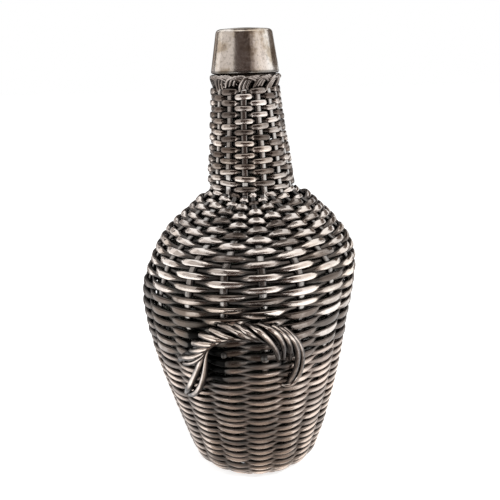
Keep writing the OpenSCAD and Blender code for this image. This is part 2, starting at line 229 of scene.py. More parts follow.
END_RINGS = 6  # in each rounded end of a rod
END_REACH, END_TIP = 0.8, 0.03  # how far a rounded end goes and how blunt it is, as shares of the radius
SHADED_SIDE_SHARE = 0.15  # share of the wear kept on the sides that face away, which are painted in shade


def carry(values):
    """Values along a rod, carried on over its rounded ends."""
    return np.concatenate([np.repeat(values[:1], END_RINGS, 0), values, np.repeat(values[-1:], END_RINGS, 0)])


def lay_of(along, across, seed):
    """Lay coordinates of a run of rings: how far along, how far across, and the rod's own number."""
    size = len(along), len(across)
    return np.stack([np.broadcast_to(along[:, None], size), np.broadcast_to(across, size), np.full(size, seed)], -1)


def tube(shape, path, radius, sides, wear, seed, flat=1.0, rounded=True, out=None):
    """A rod along a path, with rounded ends. out gives the direction that shows: that side is worn bright and
    painted with a highlight, and the far side is painted in shade.
    """
    way = unit(np.gradient(path, axis=0))
    normal = np.zeros_like(path)
    n = np.cross(way[0], (0.3, 0.2, 1.0))
    for i, t in enumerate(way):
        n = n - t * n.dot(t)
        n = n / np.linalg.norm(n)
        normal[i] = n
    side = np.cross(way, normal)
    size = np.broadcast_to(radius, len(path))
    along = lengths(path)
    if out is not None:
        out = np.broadcast_to(out, path.shape)
    if rounded:
        ball = np.linspace(0, math.pi / 2, END_RINGS + 1)[:-1]
        rise, far = np.maximum(np.sin(ball), END_TIP), END_REACH * np.cos(ball)
        head = path[0] - way[0] * (size[0] * far)[:, None]
        tail = path[-1] + way[-1] * (size[-1] * far[::-1])[:, None]
        path = np.vstack([head, path, tail])
        size = np.concatenate([rise * size[0], size, rise[::-1] * size[-1]])
        normal, side, along = carry(normal), carry(side), carry(along)
        out = None if out is None else carry(out)
    th = np.linspace(0, TAU, sides, endpoint=False)
    ring = normal[:, None] * np.cos(th)[None, :, None] + side[:, None] * np.sin(th)[None, :, None] * flat
    lit_side_wear = np.full((len(path), sides), wear)
    # Painted highlight on the side toward out, partly wear, and painted shade on the far side
    if out is not None:
        facing = (ring * out[:, None]).sum(-1)
        lit_side_wear = lit_side_wear * (SHADED_SIDE_SHARE + (1 - SHADED_SIDE_SHARE) * smooth(0.1, 1.0, facing))
    shape.rings(path[:, None] + ring * size[:, None, None], lit_side_wear, lay_of(along, th / TAU, seed))


def lathe(profile, sides, follow=False):
    """A closed turned form: profile is a loop of (radius, height). It can follow the jacket's lean."""
    p = np.asarray(profile, float)
    phi = np.linspace(0, TAU, sides, endpoint=False)
    x, y = p[:, 0] * np.cos(phi)[:, None], p[:, 0] * np.sin(phi)[:, None]
    grid = np.stack([x, y, np.broadcast_to(p[:, 1], x.shape)], -1)
    if follow:
        grid[..., 0] += lean(grid[..., 2])
    lay = lay_of(phi * 10, lengths(p), 0.0)
    shape = Shape()
    shape.rings(grid[:, ::-1], 1.0, lay[:, ::-1], closed=True)
    return shape


def arc(c, r, a0, a1, n):
    a = np.radians(np.linspace(a0, a1, n))
    return np.column_stack([c[0] + r * np.cos(a), c[1] + r * np.sin(a)])


# ---------------------------------------------------------------- materials
def node(tree, kind, inputs=None, **props):
    n = tree.nodes.new(kind)
    for k, v in props.items():
        setattr(n, k, v)
    for k, v in (inputs or {}).items():
        if isinstance(v, bpy.types.NodeSocket):
            tree.links.new(v, n.inputs[k])
        else:
            n.inputs[k].default_value = v
    return n


def ramp(tree, fac, stops):
    n = node(tree, "ShaderNodeValToRGB", {"Fac": fac})
    e = n.color_ramp.elements
    while len(e) < len(stops):
        e.new(0.5)
    for el, (p, c) in zip(e, stops):
        el.position = p
        el.color = (c if isinstance(c, tuple) else (c, c, c)) + (1,)
    return n.outputs["Color"]


def material(name):
    m = bpy.data.materials.new(name)
    m.use_nodes = True
    t = m.node_tree
    return m, t, t.nodes["Principled BSDF"]


def math_node(tree, op, *values, clamp=False):
    return node(tree, "ShaderNodeMath", dict(enumerate(values)), operation=op, use_clamp=clamp).outputs[0]


def mix(tree, fac, a, b, blend):
    n = node(tree, "ShaderNodeMix", {"Factor": fac}, data_type="RGBA", blend_type=blend)
    for sock, v in ((n.inputs[6], a), (n.inputs[7], b)):
        if isinstance(v, bpy.types.NodeSocket):
            tree.links.new(v, sock)
        else:
            sock.default_value = v + (1,)
    return n.outputs[2]


def noise(tree, where, scale, detail, rough=0.5):
    inputs = {"Vector": where, "Scale": scale, "Detail": detail, "Roughness": rough}
    return node(tree, "ShaderNodeTexNoise", inputs).outputs["Fac"]


def bumped(tree, height, strength, distance, **more):
    inputs = {"Height": height, "Strength": strength, "Distance": distance, **more}
    return node(tree, "ShaderNodeBump", inputs).outputs["Normal"]


def woven_silver(name, bright, mid, dark, gold, gloss, stops):
    """Oxidised silver: bright and worn where a rod stands proud, black where it dives. The value it reads for this
    also holds painted shade and painted highlights.
    """
    m, t, bsdf = material(name)
    bsdf.inputs["Metallic"].default_value = 1.0
    wear = node(t, "ShaderNodeAttribute", attribute_name="wear").outputs["Fac"]
    lay = node(t, "ShaderNodeAttribute", attribute_name="lay").outputs["Vector"]
    where = node(t, "ShaderNodeTexCoord").outputs["Object"]
    cloud = noise(t, where, 140.0, 4.0, 0.6)
    broad = noise(t, where, 26.0, 2.0)
    drawn = node(t, "ShaderNodeMapping", {"Vector": lay, "Scale": (0.16, 14.0, 7.3)}).outputs["Vector"]
    streak = noise(t, drawn, 1.0, 3.0, 0.55)
    worn_and_lit = math_node(t, "ADD", wear, math_node(t, "MULTIPLY_ADD", cloud, 0.5, -0.25))
    grain = math_node(t, "MULTIPLY_ADD", streak, 0.22, -0.11)
    worn_and_lit = math_node(t, "ADD", worn_and_lit, grain, clamp=True)
    # Wear below the dark stop goes on to black, where the painted shadows by the handle take it
    tone = ramp(t, worn_and_lit, [(0.0, 0.008)] + list(zip(stops, (dark, mid, bright))))
    warm = ramp(t, broad, [(0.5, 0.0), (0.68, gold)])
    t.links.new(mix(t, warm, tone, (0.98, 0.80, 0.58), "MULTIPLY"), bsdf.inputs["Base Color"])
    rough = ramp(t, worn_and_lit, [(0.15, gloss[0]), (0.55, gloss[1]), (0.95, gloss[2])])
    t.links.new(mix(t, 0.25, rough, streak, "OVERLAY"), bsdf.inputs["Roughness"])
    high = math_node(t, "ADD", math_node(t, "MULTIPLY", streak, 0.6), math_node(t, "MULTIPLY", cloud, 0.4))
    t.links.new(bumped(t, high, 0.22, 0.0003), bsdf.inputs["Normal"])
    return m


def polished_silver(name, colour, rough, dent, edges=None):
    """Smooth silver with soft dents and cloudy tarnish. edges are the heights of the bottom and top of the part: the
    colour is darker close to both and over the top.
    """
    m, t, bsdf = material(name)
    bsdf.inputs["Metallic"].default_value = 1.0
    where = node(t, "ShaderNodeTexCoord").outputs["Object"]
    cloud = noise(t, where, 130.0, 5.0, 0.62)
    fine = noise(t, where, 900.0, 3.0)
    soft = noise(t, where, 45.0, 1.0)
    shares = (0.62, 0.56, 0.48), (0.88, 0.86, 0.82)
    low, half = (tuple(c * k for c, k in zip(colour, share)) for share in shares)
    tone = ramp(t, cloud, [(0.42, low), (0.5, half), (0.58, colour)])
    if edges:
        z = node(t, "ShaderNodeSeparateXYZ", {"Vector": where}).outputs["Z"]
        span = {"Value": z, "From Min": edges[0], "From Max": edges[1]}
        way_up = node(t, "ShaderNodeMapRange", span).outputs["Result"]
        # Darker in narrow bands at the bottom and top rims, and over the top
        rim_darkening = ramp(t, way_up, [(0.0, 0.12), (0.05, 0.3), (0.085, 1.0), (0.93, 1.0), (0.975, 0.3)])
        tone = mix(t, 1.0, tone, rim_darkening, "MULTIPLY")
        tone = mix(t, 1.0, tone, ramp(t, fine, [(0.34, 0.72), (0.5, 1.0)]), "MULTIPLY")
    t.links.new(tone, bsdf.inputs["Base Color"])
    haze = math_node(t, "ADD", math_node(t, "MULTIPLY", cloud, 0.6), math_node(t, "MULTIPLY", fine, 0.4))
    t.links.new(ramp(t, haze, [(0.3, rough * 0.7), (0.7, rough * 1.7)]), bsdf.inputs["Roughness"])
    dents = bumped(t, soft, dent, 0.0012)
    t.links.new(bumped(t, fine, 0.03, 0.0002, Normal=dents), bsdf.inputs["Normal"])
    return m


def bottle_glass():
    """Green glass that lets half the light through, seen mostly through gaps in the weave. Its pale grey-green is
    painted light, which lifts the shade in those gaps.
    """
    m, t, bsdf = material("green_glass")
    bsdf.inputs["IOR"].default_value = 1.5
    bsdf.inputs["Transmission Weight"].default_value = 0.5
    where = node(t, "ShaderNodeTexCoord").outputs["Object"]
    wave = noise(t, where, 40.0, 2.0)
    # A pale grey-green: painted light that lifts the shade in the weave's gaps
    tone = ramp(t, wave, [(0.3, (0.10, 0.11, 0.085)), (0.7, (0.17, 0.18, 0.145))])
    t.links.new(tone, bsdf.inputs["Base Color"])
    t.links.new(ramp(t, wave, [(0.3, 0.2), (0.7, 0.3)]), bsdf.inputs["Roughness"])
    t.links.new(bumped(t, wave, 0.1, 0.001), bsdf.inputs["Normal"])
    return m


def cork_material():
    m, t, bsdf = material("cork")
    where = node(t, "ShaderNodeTexCoord").outputs["Object"]
    cells = node(t, "ShaderNodeTexVoronoi", {"Vector": where, "Scale": 1100.0}).outputs["Distance"]
    pits = noise(t, where, 500.0, 5.0)
    tone = ramp(t, pits, [(0.32, (0.12, 0.06, 0.03)), (0.45, (0.42, 0.25, 0.13)), (0.7, (0.58, 0.39, 0.22))])
    tone = mix(t, 0.4, tone, ramp(t, cells, [(0.0, 0.55), (0.6, 1.0)]), "MULTIPLY")
    t.links.new(tone, bsdf.inputs["Base Color"])
    bsdf.inputs["Roughness"].default_value = 0.85
    t.links.new(bumped(t, pits, 0.5, 0.0004), bsdf.inputs["Normal"])
    return m


rods = woven_silver("woven_silver", (0.92, 0.845, 0.79), (0.165, 0.135, 0.118), (0.105, 0.10, 0.096),
                    gold=0.35, gloss=(0.4, 0.16, 0.11), stops=(0.1, 0.66, 1.0))
fine_rods = woven_silver("fine_silver", (0.74, 0.62, 0.54), (0.335, 0.278, 0.245), (0.15, 0.143, 0.138),
                         gold=0.2, gloss=(0.5, 0.31, 0.2), stops=(0.1, 0.54, 0.9))
uprights = woven_silver("upright_silver", (0.66, 0.635, 0.61), (0.20, 0.188, 0.18), (0.055, 0.055, 0.055),
                        gold=0.1, gloss=(0.5, 0.24, 0.1), stops=(0.1, 0.56, 0.98))
grip = woven_silver("handle_silver", (0.86, 0.765, 0.70), (0.068, 0.055, 0.05), (0.02, 0.02, 0.02),
                    gold=0.15, gloss=(0.34, 0.15, 0.09), stops=(0.1, 0.73, 1.0))
cap_metal = polished_silver("cap_silver", (0.97, 0.905, 0.845), 0.15, 0.16, (CAP_BOTTOM * MM, CAP_TOP * MM))
# Dark silver: the collar's darkness is painted shade under the cap's rim, and the threads and the cap's lining
# inside the cap share it
shaded_collar_metal = polished_silver("collar_silver", (0.20, 0.18, 0.165), 0.3, 0.04)
glass = bottle_glass()
cork = cork_material()


# ---------------------------------------------------------------- the woven rods
def wander(n, size):
    """A closed run of n seeded values, as a smooth function of how far along it is."""
    v = rng.normal(0, size, n)
    table = np.concatenate([v, v[:2]])

    def f(k):
        i = np.floor(k % n).astype(int)
        t = k % n - i
        t = t * t * (3 - 2 * t)
        return table[i] * (1 - t) + table[i + 1] * t
    return f


def section(sides, square):
    """Points round a rod's section. A square of 1 is an ellipse, and less is squarer."""
    th = np.linspace(0, TAU, sides, endpoint=False)
    c, sn = np.cos(th), np.sin(th)
    return th, np.sign(c) * np.abs(c) ** square, np.sign(sn) * np.abs(sn) ** square


def skin(centre, normal, side, deep, wide, c, sn):
    """Rings of a section along a line, from half its depth and half its width."""
    return (centre[:, None] + normal[:, None] * (c * deep[:, None])[..., None]
            + side[:, None] * (sn * wide[:, None])[..., None])


def tarnish_shade_and_sheen(phi, z):
    """How one course is worn and painted with light round the jacket: the share of wear left, the wear taken off,
    the least wear added.

    The metal is darkest round the handle and on both sides of the belly, partly from tarnish and partly from painted
    shade of the handle and of the sides. The wear taken off is painted shadow, deepest beside the handle's left end
    and between its right leg and the body. The least wear added is a painted sheen, which makes the right side
    lighter."""
    turn, front = np.mod(phi, TAU), -np.sin(phi)
    left, right = smooth(0.1, 0.4, -np.cos(phi)), smooth(0.15, 0.45, np.cos(phi))
    # Painted shade of the handle on the courses behind it
    behind = smooth(0.88, 0.97, front) * band(z, 56, 60, 70, 74)
    behind = np.maximum(behind, 1.5 * swell(turn, 4.42, 0.13) * band(z, 54, 57, 66, 70))
    # Both sides of the belly and the left of the handle: partly tarnish and partly painted shade
    shade_and_tarnish = band(z, 50, 62, 80, 94) * (0.44 * left + 0.24 * right) * smooth(-0.3, 0.3, front)
    shade_and_tarnish = shade_and_tarnish + 0.5 * swell(turn, 4.33, 0.2, 4) * band(z, 44, 54, 70, 80)
    # Painted shadow, deepest beside the handle's left end and between its right leg and the body
    handle_shadow = swell(turn, 4.40, 0.12) * band(z, 50, 58, 65, 72)
    handle_shadow = handle_shadow + 0.7 * swell(turn, 5.12, 0.05) * band(z, 50, 54, 66, 70)
    handle_shadow = handle_shadow + 0.75 * swell(turn, 4.2, 0.11) * band(z, 56, 61, 72, 79)
    # A painted sheen on the right side
    right_sheen = right * (0.14 * smooth(88, 98, z) + 0.26 * smooth(116, 121, z) + 0.3 * band(z, 20, 50, 78, 90))
    return np.maximum((1 - 0.5 * behind) * (1 - shade_and_tarnish), 0.12), 0.5 * handle_shadow, right_sheen


RINGS_PER_UPRIGHT = 14


def course(shape, s0, first, count, phase, base, reach, crest, cross, deep, shine, seed, sides, dull, tip,
           low=None, gather=1.0, blunt=0.8, long=0.0):
    """One woven rod all the way round, in front of one upright and behind the next.

    It swings by reach about base, off the line of the uprights. It is crest high where it shows, cross high where
    it dives, and deep thick. shine, dull and tip set how it's worn: most, least and how far along. blunt and long
    shape its swing, and low is the lowest that it goes."""
    phi = np.linspace(0, TAU, count * RINGS_PER_UPRIGHT, endpoint=False) + phase
    k = (phi - phase) / (TAU / count)
    wave = np.cos(math.pi * (k + first))
    wave = wave + long * (1 - np.abs(wave))
    wave = np.sign(wave) * np.abs(wave) ** blunt
    up, height, fat = wander(count, 0.16), wander(count, 0.05), wander(count, 0.06)
    z0 = np.interp(s0, LINE_S, LINE[:, 1])
    tilt = 0.25 + 0.9 * band(z0, 56, 70, 102, 114)
    s = s0 + up(k + 0.5) + wander(4, 0.12)(k * 4 / count) + tilt * np.cos(phi)
    out = base + reach * (0.55 + 0.45 * smooth(4, 16, z0)) * wave * (1 + height(k))
    centre, normal, rise = on_jacket(s, phi, out, gather)
    over = smooth(-0.2, 1.0, wave)
    half = (cross + (crest - cross) * over) / 2 * (1 + fat(k))
    thick = deep / 2 * (0.94 + 0.1 * over)
    th, c, sn = section(sides, 0.7)
    grid = skin(centre, normal, rise, thick, half, c, sn)
    if low is not None:
        grid[..., 2] = np.maximum(grid[..., 2], low)
    each = np.clip(1 + wander(count, 0.2)(np.round(k)), 0.5, 1.2)
    # Tarnish and painted shade round the handle take wear off, and a painted sheen raises the least wear on the
    # right side
    share, off, right_sheen = tarnish_shade_and_sheen(phi, z0)
    bare = smooth(0, 0.45, np.clip(wave + tip, 0, 1)[:, None] - 0.82 * np.abs(sn)) * smooth(0.45, 0.9, c)
    least = (dull + right_sheen)[:, None]
    wear = shine * (each * share)[:, None] * (least + (1 - least) * bare) - off[:, None]
    lay = lay_of(phi * np.hypot(centre[:, 0], centre[:, 1]), th / TAU, seed)
    shape.rings(grid, wear, lay, closed=True)


FOOT_TOP = 5.9  # where the courses of the foot end and the lower weave starts
BANDS = [
    # name, from, to, rows, uprights, (base, reach, crest, cross, deep, shine), sides, wear and swing
    ("lower", FOOT_TOP, 60.0, 33, BODY, (1.3, 1.05, 2.2, 1.56, 1.3, 0.85), 14, dict(dull=0.36, tip=-0.12)),
    ("belly", 60.0, 97.75, 18, BODY, (1.7, 1.3, 2.85, 2.05, 1.6, 1.0), 16, dict(dull=0.2, tip=0.35)),
    ("shoulder", 97.75, 114.1, 11, BODY, (1.7, 1.3, 2.8, 2.05, 1.6, 1.0), 16, dict(dull=0.2, tip=0.35)),
    ("neck", 119.9, 158.1, 18, NECK, (0.55, 1.25, 2.4, 1.6, 1.5, 0.8), 16,
     dict(dull=0.2, tip=0.3, gather=0.0, blunt=1.0, long=0.55))]
row = 0
for name, z0, z1, rows, stakes, rod, sides, more in BANDS:
    a, b = s_of(z0), s_of(z1)
    shapes = [Shape(), Shape()]
    for i in range(rows):
        course(shapes[i % 2], a + (b - a) * (i + 0.5) / rows, row, *stakes, *rod, row * 1.7, sides, **more)
        row += 1
    if name == "neck":  # three courses between the shoulder and the neck
        for i in range(3):
            course(shapes[i % 2], s_of(114.9 + 1.7 * i), row + i, *BODY, 0.7, 0.9, 2.1, 1.6, 1.3, 1.0, 90.0 + i, 14,
                   dull=0.42, tip=0.6)
    look = fine_rods if name == "lower" else rods
    for odd, sh in zip(("even", "odd"), shapes):
        place(sh, f"{name}_rods_{odd}", look, "flask", [f"{name}_weave_{odd}"])

# The foot: finer courses that turn under, and the wale that the flask stands on, two rounds of two rods each
FOOT_ROWS = 5
WALE_R, WALE_GAP, WALE_Z, WALE_TWISTS = 20.5, 2.5, 1.45, 14
foot = Shape()
bottom, top = 0.9, s_of(FOOT_TOP)
for i in range(FOOT_ROWS):
    course(foot, bottom + (top - bottom) * (i + 0.5) / FOOT_ROWS, 1 + i, *BODY, 1.3, 1.05, 2.2, 1.64, 1.3, 0.8,
           30 + i, 14, dull=0.36, tip=-0.12, low=0.05)
for j in range(4):
    phi = np.linspace(0, TAU, 320)
    turn = phi * WALE_TWISTS + j * math.pi
    r = WALE_R + WALE_GAP * (j // 2) + 0.75 * np.cos(turn)
    tube(foot, polar(r, phi, WALE_Z + 0.55 * np.sin(turn)), 0.9, 10, 0.6, 40 + j, rounded=False)
place(foot, "foot_rods", fine_rods, "flask", ["foot_wale"])


def upright(shape, s, phi, base, deep, wide, seed, gather=1.0):
    """An upright rod, flattened a little where the courses press on it."""
    p, normal, up = on_jacket(s, phi, base, gather)
    th, c, sn = section(14, 0.95)
    deep, wide = (np.broadcast_to(v, len(s)) for v in (deep, wide))
    grid = skin(p, normal, np.cross(up, normal), deep / 2, wide / 2, c, sn)
    share = 1.35 - gather * (0.35 + 0.4 * smooth(s_of(112), s_of(116), s))
    wear = (0.1 + 0.66 * smooth(0.25, 1.0, c)) * share[:, None]
    shape.rings(grid, wear, lay_of(s, th / TAU, seed))


# Uprights of the body and of the neck. Two of the body's have blunt ends that show behind the handle
UPRIGHT_STEP = 0.9  # from ring to ring
BLUNT_R = 43.3  # from the axis
BLUNT_ENDS = {11: (-99.3, 65.1, 1.1), 12: (-79.6, 64.2, 1.3)}  # degrees, height, thickness
for k in range(STAKES):
    sh = Shape()
    s = np.arange(0.0, s_of(119), UPRIGHT_STEP)
    coarse, tip = smooth(s_of(56), s_of(64), s), smooth(s_of(112.5), s_of(115), s)
    base, deep = 1.3 + 0.4 * coarse - 0.4 * tip, 0.9 + 0.3 * coarse + 0.4 * tip
    wide = 2.7 + 0.4 * coarse - 1.1 * tip
    upright(sh, s, PHASE + k * STEP + wander(8, 0.006)(s / 20), base, deep, wide, k * 2.3)
    if k in BLUNT_ENDS:
        angle, high, radius = BLUNT_ENDS[k]
        z = np.linspace(high, high - 0.6, 8)
        tube(sh, polar(BLUNT_R, math.radians(angle) + 0 * z, z), radius, 14, 0.26, k * 5.1)
    place(sh, f"upright_{k + 1:02d}", uprights, "flask", [f"stake_{k + 1}"])
sh = Shape()
for k in range(NECK_STAKES):
    s = np.arange(s_of(116.5), s_of(158.8), UPRIGHT_STEP)
    phi = NECK_PHASE + k * NECK_STEP + wander(8, 0.012)(s / 12)
    upright(sh, s, phi, 0.55, 1.1, 2.5, k * 3.1, 0.0)
place(sh, "neck_uprights", uprights, "flask", ["neck_stakes"])

# The border: the tips of each upright, three rods, roll over the next one and tuck in behind the one after
BORDER_TOP = 162.5  # the middle of a rod stays under this, clear of the cap
sh = Shape()
for k in range(NECK_STAKES):
    high, far = rng.normal(0, 0.3), rng.normal(0, 0.12)
    for j in range(3):
        t = np.linspace(0, 1, 44)
        ang = NECK_PHASE + (k - 0.25 + 0.27 * j + (1.6 + far) * smooth(0.1, 1, t)) * NECK_STEP
        r = 11.5 + 1.75 * np.sin(math.pi * smooth(0.0, 0.9, t)) - 0.5 * smooth(0.75, 1, t) - 0.22 * j
        rise, fall = 4.9 - 0.1 * j + 0.3 * high, 3.4 - 0.4 * j
        z = 157.2 + rise * smooth(0, 0.46, t) - fall * smooth(0.46, 1, t) + 0.3 * j
        path = polar(r, ang, np.minimum(z, BORDER_TOP))
        # The outer, upper side of each rod is brighter: partly wear, partly a painted highlight
        tube(sh, path, 0.74, 12, 0.85, k * 1.3 + j * 0.4, out=polar(1.0, ang, 0.5))
place(sh, "border_rods", rods, "flask", ["neck_border"])

# The base: rods through the middle, and rings woven under and over them
STICK_Z, STICK_TIP, STICK_GAP = 3.5, 21.8, 2.1
for name, quarter in (("base_sticks_pierced", 0), ("base_sticks_threaded", 1)):
    sh = Shape()
    turn = PHASE + quarter * math.pi / 2
    ca, sa = math.cos(turn), math.sin(turn)
    for j in range(4):
        y, ang = (j - 1.5) * STICK_GAP, (j - 1.5) * STEP
        tip_x, tip_y = STICK_TIP * math.cos(ang), STICK_TIP * math.sin(ang)
        bends = np.array([(-tip_x, tip_y), (-8.5, y * 1.5), (-4.5, y), (0, y), (4.5, y), (8.5, y * 1.5),
                          (tip_x, tip_y)])
        at = np.linspace(0, len(bends) - 1, 60)
        x, y = even(np.column_stack([np.interp(at, range(len(bends)), bends[:, i]) for i in (0, 1)]), 0.6).T
        lift = (-0.35 if quarter else 0.35) * np.exp(-(x / 5) ** 2)
        path = np.column_stack([x * ca - y * sa, x * sa + y * ca, STICK_Z + lift])
        tube(sh, path, 0.95, 10, 0.5, j * 2.7 + quarter, out=(0, 0, -1.0))
    place(sh, name + "_rods", uprights, "flask", [name])
for name, z, sign in (("base_weave_under", 1.25, -1.0), ("base_weave_over", 5.75, 1.0)):
    sh = Shape()
    for i in range(6):
        phi = np.linspace(0, TAU, 260)
        path = polar(7.15 + 1.8 * i, phi, z + 0.22 * np.cos(STAKES // 2 * (phi - PHASE) + math.pi * i))
        tube(sh, path, 0.82, 10, 0.55, i * 3.3, flat=0.7, rounded=False, out=(0, 0, sign))
    place(sh, name + "_rods", rods, "flask", [name])


# ---------------------------------------------------------------- the handle
def off_jacket(points, soft):
    """Points given as length round the front, height and distance off the jacket, evened into a smooth path."""
    u, z, stand = np.asarray(points, float).T
    r0 = np.interp(z, JACKET[:, 1], JACKET[:, 0])
    ang = -math.pi / 2 + u / r0
    return blur(even(polar(r0 + lean(z) * np.cos(ang) + stand, ang, z), 0.35), soft)


axis = off_jacket([
    (-28.0, 57.5, -1.5), (-21.6, 62.2, 1.5), (-17.1, 65.9, 3.4), (-13.1, 69.7, 5), (-9.7, 73.4, 6.4),
    (-6.8, 76.3, 7.6), (-3.5, 78.6, 8.8), (-0.2, 79.6, 9.4), (3.2, 79.5, 9.5), (6.6, 78.6, 9.2), (9.6, 76.4, 8.4),
    (12.6, 73.6, 7), (15.3, 70.1, 5.4), (17.9, 65.8, 4), (19.4, 60.9, 2.6), (19.4, 56.1, 1.2), (18.3, 52.6, 0),
    (18.0, 49.5, -2.2)], 7)
t = np.linspace(0, 1, len(axis))
way = unit(np.gradient(axis, axis=0))
out = polar(1.0, np.arctan2(axis[:, 1], axis[:, 0]), 0.0)
out = unit(out - way * (out * way).sum(1)[:, None])
across = np.cross(way, out)
STRANDS, TWISTS = 5, 4.5
strands = [Shape() for _ in range(STRANDS)]
for k, sh in enumerate(strands):  # the inner lay of rods round the core, which shows behind and between
    a, keep = TAU * (TWISTS * t + k / STRANDS), (t > 0.08) & (t < 0.72 + 0.02 * k)
    off = 0.95 * (np.cos(a)[:, None] * out + np.sin(a)[:, None] * across)
    tube(sh, (axis + off - 0.4 * out)[keep], 0.95, 14, 0.25, k * 4.7, out=unit(off)[keep])
LAID = [  # strand, thickness, taper at the inner end, points
    (4, 0.72, 0.4, [(-21.8, 59.7, 2.4), (-19.4, 60.6, 3.4), (-16.4, 62.3, 4.2), (-13.7, 64.9, 4.6),
                    (-12.3, 67.1, 4.4), (-11.4, 68.6, 3.4)]),
    (0, 1.05, 0.5, [(-23.2, 61.9, 2.4), (-20.2, 63.4, 3.8), (-16.5, 64.8, 5), (-13.5, 66.9, 5.6),
                    (-11.6, 68.6, 5.4), (-10.3, 69.9, 4.2)]),
    (1, 1.05, 0.5, [(-17.1, 66.9, 3.6), (-15.1, 67.9, 5.2), (-12.7, 69.2, 6.4), (-10.4, 70.5, 6.9),
                    (-8.9, 71.6, 6.4), (-7.7, 72.1, 4.8)]),
    (2, 1.2, 0.5, [(-15.8, 70.7, 4.2), (-12.9, 71.9, 6.4), (-10, 72.6, 7.8), (-8, 73.2, 8.2),
                   (-6.3, 73.9, 7.4), (-5.1, 73.7, 5.6)]),
    (3, 1.2, 0.5, [(-12.5, 75, 5.4), (-9.8, 75.6, 7.8), (-7.3, 75.8, 9.2), (-5.5, 75.5, 9.2),
                   (-4, 75, 8.2), (-2.8, 74.4, 6.2)]),
    (4, 1.05, 0.45, [(-8.7, 77.8, 6.5), (-6.1, 78, 9), (-3.8, 77.6, 10.3), (-1.6, 76.9, 10.6),
                     (0.6, 76, 9.6), (2.2, 74.8, 7.4)]),
    (0, 1.1, 0.4, [(-5.8, 79.8, 6.5), (-3.4, 80.6, 9.5), (-1.2, 80.5, 11.4), (0.8, 79.1, 12),
                   (2.9, 77.3, 11.2), (4.8, 75.6, 9.4), (6.4, 74.1, 7)]),
    (1, 1.05, 0.3, [(-0.8, 80.8, 8.5), (0.8, 80.9, 11), (2.5, 79.9, 12.2), (4.2, 78.2, 11.8),
                    (5.9, 76.2, 10.2), (7.4, 74, 7.6)]),
    (2, 1.08, 0.15, [(2.5, 81, 8.6), (4.2, 81, 11.2), (5.6, 80.2, 12), (6.9, 78.6, 12),
                     (8.6, 75.5, 10.6), (10.6, 71, 8.2), (11.9, 66.5, 5.6), (12.7, 63.4, 3)]),
    (3, 1.02, 0.15, [(6, 80.9, 8.4), (8.1, 80.6, 10.6), (10.2, 78.8, 11), (11.9, 75.3, 9.6),
                     (13.3, 71.1, 7.4), (14, 67.8, 5.2), (14.7, 63.6, 2.4)]),
    (4, 0.95, 0.15, [(10.2, 79.2, 7.4), (12.4, 77.4, 9), (14.1, 74.6, 8.8), (15.6, 70.6, 7),
                     (16.5, 67.2, 5), (17.2, 62.7, 2.2)]),
    (0, 0.95, 0, [(12.7, 77.6, 6), (13.7, 76.9, 7), (15.3, 75, 7.8), (16.9, 72, 7.5), (18.4, 67.5, 6),
                  (19, 63.5, 4.6), (19, 58.2, 2.8), (18.3, 54.1, 1.4), (17.2, 51.2, 0.2), (17.5, 49.3, -1.6)]),
    (1, 0.88, 0, [(14.3, 76.7, 4.2), (15.6, 75.5, 5), (17.5, 73.3, 5.5), (19.3, 70.1, 5.2), (20.8, 66.3, 4.2),
                  (21.7, 62, 3), (21.8, 56.8, 1.8), (21, 53.1, 1), (19.2, 50.3, 0.6), (16.6, 49.4, 0.5),
                  (15.1, 49.6, -1.2)])]
for n, (k, thick, taper, points) in enumerate(LAID):
    path = off_jacket(points, 4)
    radius = 1.07 * thick * (1 - taper * smooth(0.55, 1, np.linspace(0, 1, len(path))))
    # The five strands at the left end are a little brighter, and the side given by shows, to the front and up,
    # carries a painted highlight
    wear = 1.05 if n < 5 else 0.97
    shows = (-0.15, -1.0, 0.5) if n < 8 else (0.2, -1.0, 0.25)
    tube(strands[k], path, radius, 16, wear, 70.0 + n, out=unit(np.array(shows)))
for k, sh in enumerate(strands):
    place(sh, f"handle_rod_{k + 1}", grip, "flask", [f"handle_strand_{k + 1}"])
CORE_ENDS = [  # thickness, taper at the upper end, points
    (1.36, 0.4, [(-11.7, 70.2, 3.4), (-13.0, 66.5, 3.4), (-14.5, 62.6, 3.0), (-16.3, 58.5, 2.2), (-19.6, 52.3, 1.2),
                 (-23.2, 46.2, 0.5), (-27.0, 42.0, -1.6)]),
    (1.28, 0.55, [(-11.6, 68.0, 3.0), (-12.5, 65.3, 3.0), (-12.9, 61.7, 2.8), (-14.0, 56.6, 2.2), (-15.8, 51.5, 1.5),
                  (-18.3, 47.0, 0.8), (-20.9, 44.1, 0.3), (-24.9, 41.4, -1.6)])]
sh = Shape()
tube(sh, axis[t < 0.8], 1.0, 12, 0.2, 9.0)
for n, (thick, taper, points) in enumerate(CORE_ENDS):
    path = off_jacket(points, 5)
    radius = thick * (1 - taper * (1 - smooth(0.0, 0.45, np.linspace(0, 1, len(path)))))
    # The front and upper side of each end carries a painted highlight
    tube(sh, path, radius, 14, 1.08, 60.0 + n, out=unit(np.array((-0.2, -1.0, 0.3))))
place(sh, "handle_heart", grip, "flask", ["handle_core"])

